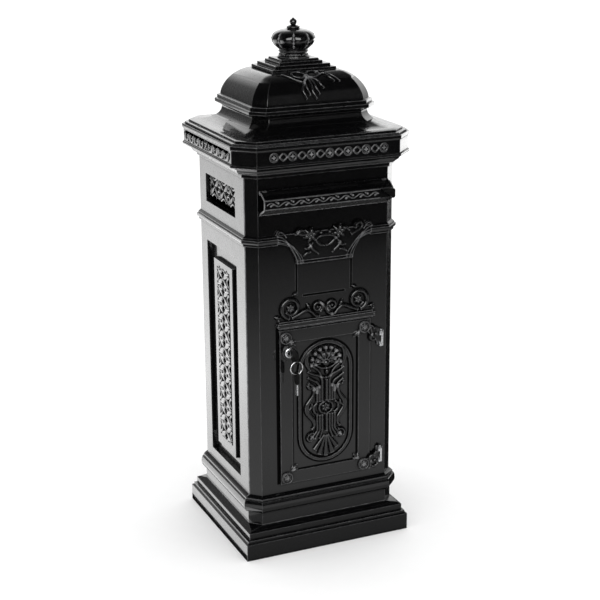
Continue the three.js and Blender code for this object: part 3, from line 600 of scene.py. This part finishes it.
# ---- Ornament of the sides -----------------------------------------------------------------------
def lattice_cell(relief, centre, along, across, upright, height, bold=1.0):
    """One repeat of a cast grille: a quatrefoil between hooked scrolls. along is the pitch, across the half
    width, and bold scales the width of its bars."""
    bar = across * bold

    def spot(a, b):
        a, b = a * along, b * across
        return (centre[0] + b, centre[1] + a) if upright else (centre[0] + a, centre[1] + b)

    for sa in (-1, 1):
        for sb in (-1, 1):
            leaf = curve(spot(sa * 0.06, sb * 0.14), spot(sa * 0.2, sb * 0.36), spot(sa * 0.3, sb * 0.74),
                         steps=5)
            relief.stroke(leaf, swell(0.32 * bar, 0.45), height, FLAT)
            hook = curve(spot(sa * 0.5, sb * 0.2), spot(sa * 0.38, sb * 0.26), spot(sa * 0.36, sb * 0.5),
                         spot(sa * 0.45, sb * 0.92), steps=4)
            relief.stroke(hook, taper(0.2 * bar, 0.8), height, FLAT)
    for sb in (-1, 1):
        side = curve(spot(-0.28, sb * 0.96), spot(0, sb * 0.66), spot(0.28, sb * 0.96), steps=5)
        relief.stroke(side, 0.17 * bar, height, FLAT)
        relief.bead(spot(0.5, sb * 0.6), 0.17 * bar, height)
    relief.bead(spot(0, 0), 0.2 * bar, height * 1.1)
    relief.bead(spot(0.5, 0), 0.14 * bar, height)


def ground_plate(name, side, depth, half, bottom, top, middle=0.0):
    """A thin matt black skin on a face of the side, with a stippled bump: painted shade between the ornament.
    """
    mesh = bmesh.new()
    place = on_side(side, depth)
    step = 12
    rows = []
    for i in range(int((top - bottom) / step) + 2):
        z = min(top, bottom + step * i)
        row = [place(middle + share * half, z, SHADE_GROUND_RISE) for share in (-1, -1 / 3, 1 / 3, 1)]
        rows.append([mesh.verts.new(point) for point in row])
    for row, after in zip(rows, rows[1:]):
        for k in range(3):
            mesh.faces.new((row[k], row[k + 1], after[k + 1], after[k]))
    bmesh.ops.solidify(mesh, geom=mesh.faces[:], thickness=0.2 * MM)
    bmesh.ops.recalc_face_normals(mesh, faces=mesh.faces)
    new_piece(name, mesh, "case", "black_paint", "painted_shade_ground")


def side_ornament(side, hand):
    """The lower panel's lattice, the window's grille and the scrolled frieze, each on a matt black ground of
    painted shade.
    """
    tall = Relief(on_side(side, WELL["depth"]))
    low, high = WELL["z"]
    count = 10
    pitch = (high - low) / count
    for i in range(count):
        lattice_cell(tall, (PANEL_SHIFT, low + pitch * (i + 0.5)), pitch, WELL["half"] - 1.5, True, 3.6)
    tall.finish(f"side_lattice_{hand}", "case", look="raised_lattice")
    gap = 0.6
    ground_plate(f"side_lattice_ground_{hand}", side, WELL["depth"], WELL["half"] - gap,
                 low + gap, high - gap, PANEL_SHIFT)

    window = Relief(on_side(side, WINDOW["depth"]))
    low, high = WINDOW["z"]
    sill, count = low + 11, 3
    span = 2 * (WINDOW["half"] - 4) / count
    for i in range(count):
        middle = (PANEL_SHIFT - 3 + (i - 1) * span, (sill + high) / 2)
        lattice_cell(window, middle, span, (high - sill) / 2 - 1.5, False, 4.4, 1.3)
    window.finish(f"side_window_lattice_{hand}", "case", look="raised_lattice")
    gap = 1.6
    ground_plate(f"side_window_ground_{hand}", side, WINDOW["depth"], WINDOW["half"] - gap,
                 low + gap, high - gap, PANEL_SHIFT)

    z = FRIEZE["z"]
    ground_plate(f"side_frieze_ground_{hand}", side, -FRIEZE["reach"], 116, z - 9.5, z + 9.5)
    frieze = Relief(on_side(side, -FRIEZE["reach"]))
    for i in range(4):
        for way in (-1, 1):
            u = way * (24 + 27 * i)
            ring = arc((u, z + 0.5), 8, 90 + way * 60, 90 + way * 300, 18)
            frieze.stroke(ring, taper(5.6, 0.7), 2.0, FLAT)
            frieze.bead((u - way * 2, z + 0.5), 3.4, 2.2)
            link = curve((u + way * 5, 788), (u + way * 11, 793), (u + way * 14, 803))
            frieze.stroke(link, swell(6, 0.5), 2.0, FLAT)
    for angle in (45, 135, 225, 315):
        frieze.leaf((0, z), angle, 12, 6, 2.3)
    frieze.bead((0, z), 4, 2.5)
    frieze.finish(f"side_frieze_{hand}", "case", look="raised_lattice")


# ---- Ornament of the door ------------------------------------------------------------------------
def door_face():
    """Faces of the door, as depths behind the body's plain front: the field, and the border round it."""
    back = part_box("door")[1].y / MM + HALF_DEPTH
    return back - 3.0, back - 5.5


def cartouche():
    """Shell over a fluted stem that spreads into straps above and legs below, with scrolls on both sides."""
    field, _ = door_face()
    relief = Relief(on_front(field), 1.8)
    middle, high, flat = 1.0, 4.6, 0.4

    def pair(line, width, height=high):
        relief.both([(middle + u, v) for u, v in line], width, height, middle, flat)

    shell = (middle, 382)
    relief.fan(shell, 90, 190, 9, 12, 32, 8.5, 6.4)
    relief.fan(shell, 90, 150, 6, 5, 20, 6.5, 8.4)
    relief.bead(shell, 8, 9.5)
    pair(curve((0, 371), (10, 372.5), (20, 378), (28, 386)), 3.6, 6)
    pair(curve((27, 376), (20, 371), (14, 364), (9, 354), (0, 351)), 3.8, 5.4)
    relief.leaf((middle + 2, 371), 270, 15, 8, 6.4)
    pair(curve((31, 412), (38, 404), (41, 392), (38, 378), (33, 369)), swell(8, 0.35))

    for drop, reach in ((0, 38), (12.5, 38), (24, 37)):
        inner = 19 - 5.5 * (2 - drop / 12.5)
        pair(curve((reach, 368 - drop), (28, 361.5 - drop), (inner + 5, 355.5 - drop), (inner, 346 - drop),
                   (inner, 333), (inner, 303)), 4.6)
    relief.stroke([(middle + 1.5, 347), (middle + 1.5, 326), (middle + 1.5, 304)], 5.4, 5.4, flat)
    pair(curve((38, 340), (35, 333), (28, 333), (24, 328)), 5)

    relief.flower((middle, 289.5), 11, 6, 6.5)
    pair(curve((4, 301), (12, 297), (14.5, 289), (11, 281), (3, 277)), 4)
    pair(curve((20, 300), (26, 293), (25, 283), (18, 277)), 4.4)

    relief.stroke([(middle + 1.5, 276), (middle + 1.5, 258), (middle + 1.5, 240)], 5.4, 5.4, flat)
    for inner in (8, 13.5, 19):
        spread = inner * 0.75
        pair(curve((inner, 275), (inner, 258), (inner, 244), (inner + spread * 0.5, 234),
                   (inner + spread, 226)), 4.2)

    scroll = curve((25, 331), (27, 319), (33, 308), (40, 297), (40, 285), (33, 274), (26, 264), (25, 253),
                   (30, 247))
    pair(scroll, swell(9, 0.5))
    pair(curve((36, 289), (31, 294), (30, 301)), swell(5, 0.4))
    relief.volutes(middle, (32, 229), 11, 120, -400, 5.4, 5, 0.3)

    fan_foot = 238
    for angle, reach in ((-124, 42), (-107, 48), (-90, 50), (-73, 48), (-56, 42)):
        turn = math.radians(angle)
        tip = (middle + reach * math.cos(turn), fan_foot + reach * math.sin(turn))
        root = (middle + 8 * math.cos(turn), fan_foot + 8 * math.sin(turn))
        relief.stroke(curve(root, tip), lambda t: 3.4 + 5.6 * t, high, flat)
    relief.finish("door_cartouche_ornament", "door")


def door_corners():
    """Leaf tips of the border's inner corners, and the rosettes' flowers and rings."""
    _, border = door_face()
    leaves = Relief(on_front(border))
    for u, v, angle in ((70, 434, 225), (-70, 170, 45), (70, 170, 135), (-72, 434, 315)):
        turn = math.radians(angle)
        root = (u - 4 * math.cos(turn), v - 4 * math.sin(turn))
        for spread in (-32, 0, 32):
            leaves.leaf(root, angle + spread, 13 if spread else 17, 6.5, 3.0)
    leaves.finish("door_corner_leaves", "door")
    flowers = Relief(on_front(border - 3.3))
    for name in ("door_rosette_top", "door_rosette_bottom"):
        low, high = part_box(name)
        rosette(flowers, ((low.x + high.x) / 2 / MM, (low.z + high.z) / 2 / MM))
    for z in (443, 154.5):
        rosette(flowers, (83, z))
    flowers.finish("door_rosette_flowers", "door")


def door_lines():
    """Painted shade: dark strips in the channels inside the door's border and on both sides of the oval
    moulding.
    """
    field, _ = door_face()

    def oval(half, end):
        """A line beside the oval moulding: half its width, and how far its ends fall short of the oval's."""
        middle, foot, head = 1.0, 177, 427
        over = arc((middle, head - end - half), half, 0, 180, 30)
        under = arc((middle, foot + end + half), half, 180, 360, 30)
        return [*over, *under, over[0]]

    dark_lines("door_channel_lines", "door", on_front(field), [
        ([(68.6, 430), (68.6, 300), (68.6, 169)], 4.2),
        ([(-67.6, 400), (-67.6, 300), (-67.6, 169)], 2.2),
        ([(-66, 168.6), (0, 168.6), (66, 168.6)], 2.8),
        (oval(59.4, -2.1), 3.4),
        (oval(49.2, 8.1), 3.8),
    ])


def rosette(relief, centre):
    relief.stroke(arc(centre, 10.3, 0, 360, 20), 2.6, 1.8, closed=True)
    relief.flower(centre, 7.6, 6, 1.9)


def hinge_scrolls():
    """Leaf scrolls along each hinge strap."""
    _, border = door_face()
    relief = Relief(on_front(border - 2.6), 1.6)
    for name, end in (("hinge_strap_top", 1), ("hinge_strap_bottom", -1)):
        low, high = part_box(name)
        knuckle = (high.z if end < 0 else low.z) / MM
        foot = knuckle + end * 2
        stem = curve(*((u, foot + end * up) for u, up in ((94, 30), (97, 20), (95, 9), (100, 3), (106, 5))))
        relief.stroke(stem, swell(6, 0.6), 4, 0.5)
        tip = curve(*((u, foot + end * up) for u, up in ((101, 27), (107, 27), (112, 22))))
        relief.stroke(tip, swell(6, 0.5), 4, 0.5)
        relief.bead((106.5, foot + end * 15), 4.2, 5)
        relief.bead((98.5, foot + end * 15), 3.2, 4.4)
    relief.finish("hinge_leaf_scrolls", "door")


def lock_rim():
    """The rolled, brightly polished rim round the lock, and the dark ring on its plug's face."""
    low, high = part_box("lock_barrel")
    centre = ((low.x + high.x) / 2 / MM, (low.z + high.z) / 2 / MM)
    relief = Relief(on_front(low.y / MM + HALF_DEPTH + 0.6))
    relief.stroke(arc(centre, 8.6, 0, 360, 40), 4.2, 2.2, closed=True)
    relief.finish("lock_rim", "door", "chrome")
    low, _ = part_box("lock_plug")
    ring = Relief(on_front(low.y / MM + HALF_DEPTH))
    ring.stroke(arc(centre, 3.4, 0, 360, 24), 4.4, DARK_STRIP_RISE, FLAT, closed=True)
    ring.finish("lock_face_ring", "lock_plug", "key_plastic")


def hinge_bars():
    """A plated half-round bar down the front of each hinge, on a foot from the door's own knuckle."""
    for end in ("top", "bottom"):
        low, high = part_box(f"hinge_bracket_{end}")
        pin_low, pin_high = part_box(f"hinge_pin_{end}")
        middle = (pin_low.x + pin_high.x) / 2 / MM
        half = (high.z - low.z) / 2 / MM
        centre = (low.z + high.z) / 2 / MM
        front = pin_low.y / MM + HALF_DEPTH
        foot = Relief(on_front(front - 1.8))
        foot.stroke([(middle, centre + share * half) for share in (-0.2, 0, 0.2)], 3.2, 1.1)
        foot.finish(f"hinge_bar_foot_{end}", "door", "chrome")
        bar = Relief(on_front(front - 3.2))
        bar.stroke([(middle, centre + share * half) for share in (-0.92, 0, 0.92)], 4.4, 1.1)
        bar.finish(f"hinge_bar_{end}", "door", "chrome")


def hinge_sleeves():
    """Plated sleeves round the fixed knuckles, each with rolled ends."""
    for end in ("top", "bottom"):
        low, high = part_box(f"hinge_bracket_{end}")
        pin_low, pin_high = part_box(f"hinge_pin_{end}")
        axis = (pin_low + pin_high) / 2
        middle, half = (low.z + high.z) / 2, (high.z - low.z) / 2
        inner = 0.4 * half + 0.6 * MM  # the moving knuckle's half height, and a gap
        mesh = bmesh.new()
        for foot, head in ((middle - half, middle - inner), (middle + inner, middle + half)):
            roll = [(4.9, 0), (5.5, 0.4), (5.6, 1.0), (5.3, 1.6)]  # radius and step up from the end
            profile = roll + [(radius, -step) for radius, step in reversed(roll)]
            rows = []
            for i, (radius, step) in enumerate(profile):
                z = (foot if i < len(roll) else head) + step * MM
                reach = radius * MM
                rows.append([
                    mesh.verts.new((axis.x + reach * math.cos(a), axis.y + reach * math.sin(a), z))
                    for a in (math.radians(15 * k) for k in range(12, 25))
                ])
            for row, after in zip(rows, rows[1:]):
                for k in range(12):
                    mesh.faces.new((row[k], row[k + 1], after[k + 1], after[k]))
            for k, side in ((0, 1), (12, -1)):
                mesh.faces.new([row[k] for row in rows[:-1]][::side])
            for k in range(12):
                mesh.faces.new((rows[0][k + 1], rows[0][k], rows[-1][k], rows[-1][k + 1]))
        bmesh.ops.recalc_face_normals(mesh, faces=mesh.faces)
        new_piece(f"hinge_sleeve_{end}", mesh, "case", "zinc_steel")


# ---- Letter flap ---------------------------------------------------------------------------------
def flap_band():
    """The flap's front band: two borders with a waved vine between them."""
    low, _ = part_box("letter_flap")
    face = low.y / MM + HALF_DEPTH
    relief = Relief(on_front(face))
    left, right = low.x / MM + 1.5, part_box("flap_knob")[0].x / MM - 2
    top, foot = 718.4, 701.8
    for z in (top, foot):
        relief.stroke([(left, z), (0, z), (right, z)], 1.9, 1.2)
    waves, middle = 15, (top + foot) / 2
    start = left + 3
    pitch = (right - 3 - start) / waves
    vine = [(start + pitch * i / 8, middle + 3.4 * math.sin(math.pi * i / 8)) for i in range(8 * waves + 1)]
    relief.stroke(vine, 2.2, 1.0)
    for i in range(waves):
        way = 1 if i % 2 else -1
        place = (start + pitch * (i + 0.5), middle + way * 2.2)
        relief.bead(place, 2.0, 1.1)
        relief.leaf(place, 90 + way * 60, 7, 3.2, 1.0)
    relief.finish("letter_flap_band", "letter_flap")


def flap_ends():
    """A raised rim along the hood's bent edge at each end, and the rounded top of the finger block."""
    low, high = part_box("letter_flap")
    front = low.y / MM
    for side, hand in ((-1, "left"), (1, "right")):
        rim = Relief(on_side(side, HALF_WIDTH - high.x / MM))
        for line in ([(front + 1.4, 701.6), (front + 1.4, 710), (front + 1.4, 719)],
                     [(front + 1.6, 719.2), (front + 9, 723.8), (front + 17, 728.8)],
                     [(front + 1.8, 700.6), (front + 7, 697.4), (front + 13, 693.8)]):
            rim.stroke(line, 2.2, 0.8, FLAT)
        rim.finish(f"letter_flap_rim_{hand}", "letter_flap")
    low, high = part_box("flap_knob")
    cap = Relief(on_front(low.y / MM + HALF_DEPTH + 0.4))
    left, right, top = low.x / MM + 1.5, high.x / MM - 4.5, high.z / MM - 3.2
    cap.stroke([(left, top), ((left + right) / 2, top), (right, top)], 5.5, 2.4)
    cap.finish("flap_knob_cap", "letter_flap", "key_plastic")


# ---- Crown finial --------------------------------------------------------------------------------
CROWN = curve(  # radius and height
    (0.5, 951.4), (28.4, 951.4), (29, 955), (26.6, 957), (26.4, 961), (28.6, 963.4), (27, 966), (32, 970.5),
    (38.5, 977), (42, 985), (40.5, 992), (34.5, 998.5), (25, 1002.3), (13, 1004.6), (12.6, 1008.2),
    (8, 1010.4), (4.4, 1011.6), (6.3, 1014), (7, 1017.5), (5.4, 1021), (2.6, 1022.8), (2.0, 1024.2),
    (0.4, 1024.8), steps=4)
ONION = (965, 1003)  # foot and head of the lobed part
LOBES = 8


def crown():
    """A turned crown: round foot, onion of lobes, cap ring and ball."""
    sides = 12 * LOBES
    mesh = bmesh.new()
    rows = []
    foot, head = ONION
    for radius, z in CROWN:
        share = math.sin(math.pi * (z - foot) / (head - foot)) if foot < z < head else 0.0
        row = []
        for k in range(sides):
            angle = 2 * math.pi * k / sides
            valley = 1 - abs(math.cos(LOBES / 2 * angle)) ** 0.6
            reach = radius * (1 - 0.1 * share * valley) * MM
            row.append(mesh.verts.new((reach * math.cos(angle), reach * math.sin(angle), z * MM)))
        rows.append(row)
    for row, after in zip(rows, rows[1:]):
        for k in range(sides):
            nxt = (k + 1) % sides
            mesh.faces.new((row[k], row[nxt], after[nxt], after[k]))
    mesh.faces.new(rows[0][::-1])
    mesh.faces.new(rows[-1])
    bmesh.ops.recalc_face_normals(mesh, faces=mesh.faces)
    piece = new_piece("crown_onion", mesh, "case", "black_paint", sharp=50)
    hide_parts("crown_finial")


def crown_radius(height):
    for (r0, z0), (r1, z1) in zip(CROWN, CROWN[1:]):
        if z0 <= height <= z1 and z1 > z0:
            return r0 + (r1 - r0) * (height - z0) / (z1 - z0)
    return 0.0


def on_crown(angle, radius_at):
    """The crown's surface at one angle round it: u runs round, v up."""
    turn = Matrix.Rotation(math.radians(angle), 4, "Z")
    return lambda u, v, lift: turn @ (Vector((u, -radius_at(v) - lift, v)) * MM)


def crown_ribs():
    """Beaded ribs up the valleys of the onion, and small arches round its foot."""
    relief = Relief(None)
    for i in range(LOBES):
        angle = 360 / LOBES * (i + 0.5)
        relief.place = on_crown(angle, lambda v: 0.93 * crown_radius(v))
        relief.stroke([(0, 968 + 2.9 * k) for k in range(12)], 2.8, 2.2)
        for v in (974, 981, 988, 995):
            relief.bead((0, v), 2.2, 3.0)
        for turn in (0, 180 / LOBES):
            relief.place = on_crown(angle + turn, lambda v: 26.4)
            relief.stroke(arc((0, 954.3), 3.6, 0, 180, 8), 1.6, 1.6)
    relief.finish("crown_ribs", "case")


# ---- Stage ---------------------------------------------------------------------------------------
class Glow:
    """An emission material whose strength follows a place or a direction through a curve."""

    def __init__(self, tree):
        self.tree = tree

    def add(self, kind, **values):
        node = self.tree.nodes.new(kind)
        for key, value in values.items():
            setattr(node, key, value)
        return node

    def along(self, source, start, end, stops):
        """Strength through a list of (share of the way from start to end, strength)."""
        reach = self.add("ShaderNodeMapRange")
        reach.inputs["From Min"].default_value = start
        reach.inputs["From Max"].default_value = end
        self.tree.links.new(source, reach.inputs["Value"])
        ramp = self.add("ShaderNodeFloatCurve")
        points = ramp.mapping.curves[0].points
        top = max(strength for _, strength in stops)
        for index, (where, strength) in enumerate(stops):
            if index < 2:
                points[index].location = (where, strength / top)
            else:
                points.new(where, strength / top)
        for point in points:
            point.handle_type = "VECTOR"
        self.tree.links.new(reach.outputs["Result"], ramp.inputs["Value"])
        scale = self.add("ShaderNodeMath", operation="MULTIPLY")
        scale.inputs[1].default_value = top
        self.tree.links.new(ramp.outputs[0], scale.inputs[0])
        return scale.outputs[0]

    def product(self, first, *rest):
        for factor in rest:
            times = self.add("ShaderNodeMath", operation="MULTIPLY")
            self.tree.links.new(first, times.inputs[0])
            self.tree.links.new(factor, times.inputs[1])
            first = times.outputs[0]
        return first


def glow_material(name, axis, start, end, stops):
    material = bpy.data.materials.new(name)
    material.use_nodes = True
    tree = material.node_tree
    tree.nodes.clear()
    glow = Glow(tree)
    place = glow.add("ShaderNodeTexCoord").outputs["Object"]
    split = glow.add("ShaderNodeSeparateXYZ")
    tree.links.new(place, split.inputs[0])
    emission = glow.add("ShaderNodeEmission")
    tree.links.new(glow.along(split.outputs[axis], start, end, stops), emission.inputs["Strength"])
    tree.links.new(emission.outputs[0], glow.add("ShaderNodeOutputMaterial").inputs["Surface"])
    return material


def card(name, x, y, z, material, glossy_only=True):
    """A flat rectangle on the studio floor. Glossy-only cards are what the gloss paint mirrors."""
    mesh = bpy.data.meshes.new(name)
    mesh.from_pydata([(x[0], y[0], z), (x[1], y[0], z), (x[1], y[1], z), (x[0], y[1], z)], [], [(0, 1, 2, 3)])
    piece = bpy.data.objects.new(name, mesh)
    bpy.context.scene.collection.objects.link(piece)
    mesh.materials.append(material)
    if glossy_only:
        piece.visible_camera = False
        piece.visible_diffuse = False
        piece.visible_shadow = False
        piece.visible_transmission = False


def make_floor():
    floor = Shader("pale_floor", Roughness=0.9, Specular_IOR_Level=0.0)
    floor.tint(floor.noise(30), (0.93, 0.93, 0.93), (0.95, 0.95, 0.95))
    card("floor", (-9, 9), (-9, 9), 0, floor.material, glossy_only=False)


def make_cards():
    """Glowing cards that only the gloss paint mirrors, each laid a little above the one before."""
    dark = glow_material("dark_card", 0, -9, 9, [(0, 0.015), (1, 0.015)])
    card("dark_card", (-9, 9), (-9, 9), 0.0005, dark)
    shade = [(0, 0.2), (0.03, 0.26), (0.1, 0.52), (0.19, 0.59), (0.38, 0.47), (0.53, 0.35), (0.67, 0.24),
             (0.77, 0.15), (0.87, 0.035), (1, 0.025)]
    front = glow_material("front_card", 1, -0.16, -2.6, shade)
    card("front_card", (-0.3, 6), (-6, -0.16), 0.001, front)
    shade = [(0, 0.75), (0.3, 0.6), (0.6, 0.2), (0.85, 0.05), (1, 0.03)]
    corner = glow_material("corner_card", 0, -0.3, -2.6, shade)
    card("corner_card", (-7, -0.3), (-6, -0.17), 0.001, corner)
    shade = [(0, 1.75), (0.05, 1.9), (0.15, 2.6), (0.3, 2.2), (0.5, 1.85), (0.7, 1.75), (0.78, 0.3), (1, 0.2)]
    left = glow_material("left_card", 1, 0, 6, shade)
    card("left_card", (-7, -0.1835), (-0.17, 8), 0.0015, left)
    far = glow_material("right_far_card", 0, 2.84, 2.9, [(0, 0.02), (1, 3.0)])
    card("right_far_card", (2.84, 8.5), (0.2, 8), 0.002, far)


def make_sky():
    """White to the camera and to matt surfaces. The gloss paint mirrors a dark studio instead, lit by a wide
    window behind the object and a softbox in front of it, to its left."""
    world = bpy.data.worlds.new("studio")
    bpy.context.scene.world = world
    world.use_nodes = True
    tree = world.node_tree
    tree.nodes.clear()
    glow = Glow(tree)
    split = glow.add("ShaderNodeSeparateXYZ")
    tree.links.new(glow.add("ShaderNodeTexCoord").outputs["Generated"], split.inputs[0])
    right, behind, up = split.outputs
    window = glow.product(
        glow.along(up, 0, 1, [(0, 1.2), (0.1, 1.5), (0.3, 1.9), (0.5, 1.6), (0.65, 0.35), (1, 0.1)]),
        glow.along(behind, -1, 1, [(0, 0), (0.5, 0), (0.65, 0.5), (0.85, 1), (1, 1)]),
        glow.along(right, -1, 1, [(0, 0.15), (0.37, 0.15), (0.46, 1), (1, 1)]),
    )
    softbox = glow.product(
        glow.along(up, 0, 1, [(0, 0), (0.08, 0), (0.14, 6), (0.6, 6), (0.7, 0), (1, 0)]),
        glow.along(behind, -1, 1, [(0, 1), (0.22, 1), (0.28, 0), (1, 0)]),
        glow.along(right, -1, 1, [(0, 0), (0.08, 0), (0.14, 1), (0.56, 1), (0.6, 0.02), (1, 0.02)]),
    )
    studio = glow.add("ShaderNodeMath", operation="ADD")
    tree.links.new(window, studio.inputs[0])
    tree.links.new(softbox, studio.inputs[1])
    dark = glow.add("ShaderNodeBackground")
    tree.links.new(studio.outputs[0], dark.inputs["Strength"])
    pale = glow.add("ShaderNodeBackground")
    pale.inputs["Strength"].default_value = 1.6
    mix = glow.add("ShaderNodeMixShader")
    tree.links.new(glow.add("ShaderNodeLightPath").outputs["Is Glossy Ray"], mix.inputs["Fac"])
    tree.links.new(pale.outputs[0], mix.inputs[1])
    tree.links.new(dark.outputs[0], mix.inputs[2])
    tree.links.new(mix.outputs[0], glow.add("ShaderNodeOutputWorld").inputs["Surface"])


make_camera()
bpy.context.scene.view_settings.view_transform = "Standard"
make_floor()
make_cards()
make_sky()
finish_cad_nodes()
apron_moulding()
apron_scrolls()
panel_lines()
pediment()
head_bar_ears()
front_frieze()
dome_emblem()
for side, hand in ((-1, "left"), (1, "right")):
    side_ornament(side, hand)
cartouche()
door_corners()
hinge_scrolls()
door_lines()
lock_rim()
hinge_bars()
hinge_sleeves()
flap_band()
flap_ends()
crown()
crown_ribs()
